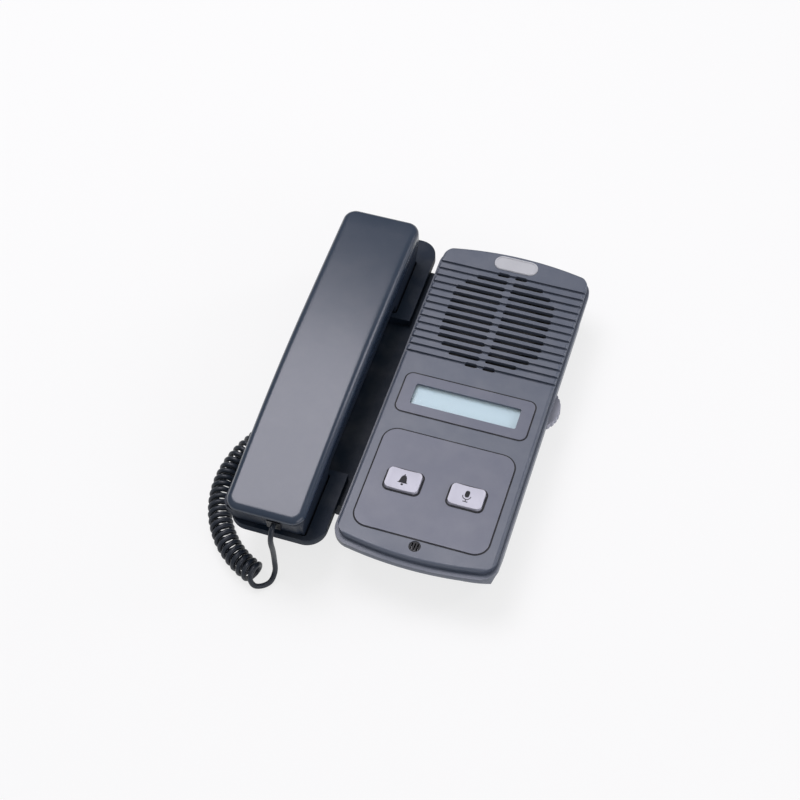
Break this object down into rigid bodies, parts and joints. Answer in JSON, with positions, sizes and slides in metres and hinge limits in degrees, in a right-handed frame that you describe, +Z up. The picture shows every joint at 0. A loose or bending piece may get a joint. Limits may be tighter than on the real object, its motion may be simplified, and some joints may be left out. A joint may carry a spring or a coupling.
{
  "type": "desk intercom station",
  "caption": "Desk intercom station: speaker unit with slotted grille, small display and press keys, joined to a cradle that holds a handset on a curly cord.",
  "frame": {"origin": "on the desk, under the middle of the station without its cord", "axes": "+Z up, +Y away from the user, +X to the user's right"},
  "size_m": [0.1758, 0.2387, 0.061],
  "materials": {
    "case_grey": "fine spark texture, slate grey",
    "plate_grey": "satin printed overlay, warm grey",
    "key_grey": "satin light grey",
    "badge_silver": "satin",
    "display_glass": "polished",
    "display_cell": "pale green-blue cell",
    "handset_navy": "satin dark slate blue",
    "cradle_black": "satin black",
    "cord_black": "smooth, slightly glossy",
    "plug_black": "moulded black",
    "foot_rubber": "matte",
    "wheel_grey": "satin dark grey",
    "inner_black": "moulded",
    "board_green": "solder mask",
    "screw_steel": "plated",
    "speaker_steel": "pressed sheet",
    "speaker_paper": "pressed paper",
    "magnet_grey": "ferrite"
  },
  "bodies": {
    "station": {"base_shell": "case_grey", "front_cover": "case_grey", "badge_plate": "badge_silver", "display_frame": "plate_grey", "display_lens": "display_glass", "display_module": "display_cell", "key_plate": "plate_grey", "key_board": "board_green", "key_switches": "inner_black", "mic_insert": "inner_black", "mic_boot": "foot_rubber", "mic_capsule": "screw_steel", "speaker_gasket": "foot_rubber", "speaker_basket": "speaker_steel", "speaker_cone": "speaker_paper", "speaker_magnet": "magnet_grey", "speaker_clamps": "screw_steel", "main_board": "board_green", "board_screws": "screw_steel", "network_socket": "inner_black", "volume_control": "inner_black", "case_screws": "screw_steel", "main_feet": "foot_rubber", "bridge": "cradle_black", "bridge_screws": "screw_steel", "cradle_shell": "cradle_black", "cradle_floor": "cradle_black", "cradle_screws": "screw_steel", "cradle_feet": "foot_rubber", "hook_spring": "screw_steel", "hook_switch": "inner_black", "cord_socket": "inner_black", "handset_lead": "cord_black", "curly_cord": "cord_black", "cradle_lead": "cord_black", "cradle_plug": "plug_black"},
    "handset": {"handset_upper_shell": "handset_navy", "handset_lower_shell": "handset_navy", "earpiece": "speaker_steel", "mouthpiece": "speaker_steel", "handset_screws": "screw_steel", "handset_socket": "inner_black", "handset_plug": "plug_black"},
    "hook_plunger": {"hook_plunger": "wheel_grey"},
    "call_key": {"call_key": "key_grey"},
    "talk_key": {"talk_key": "key_grey"},
    "volume_wheel": {"volume_wheel": "wheel_grey"}
  },
  "joints": [
    {"name": "handset_lift", "type": "slide", "parent": "station", "child": "handset", "axis": [0, 0, 1], "range_m": [0, 0.05], "deforming": ["handset_lead"]},
    {"name": "hook_travel", "type": "slide", "parent": "station", "child": "hook_plunger", "axis": [0, 0, 1], "range_m": [0, 0.004], "deforming": ["hook_spring"]},
    {"name": "call_key_press", "type": "slide", "parent": "station", "child": "call_key", "axis": [0, 0, -1], "range_m": [0, 0.0015], "stiffness_N_per_m": 300, "springref_m": -0.0008},
    {"name": "talk_key_press", "type": "slide", "parent": "station", "child": "talk_key", "axis": [0, 0, -1], "range_m": [0, 0.0015], "stiffness_N_per_m": 300, "springref_m": -0.0008},
    {"name": "volume_turn", "type": "hinge", "parent": "station", "child": "volume_wheel", "pos_m": [0.06125, 0.0179, 0.0205], "axis": [0, 0, 1], "range_deg": [-135, 135]}
  ],
  "couplings": [
    {"joint": "hook_travel", "follows": "handset_lift", "ratio": 0.08}
  ]
}
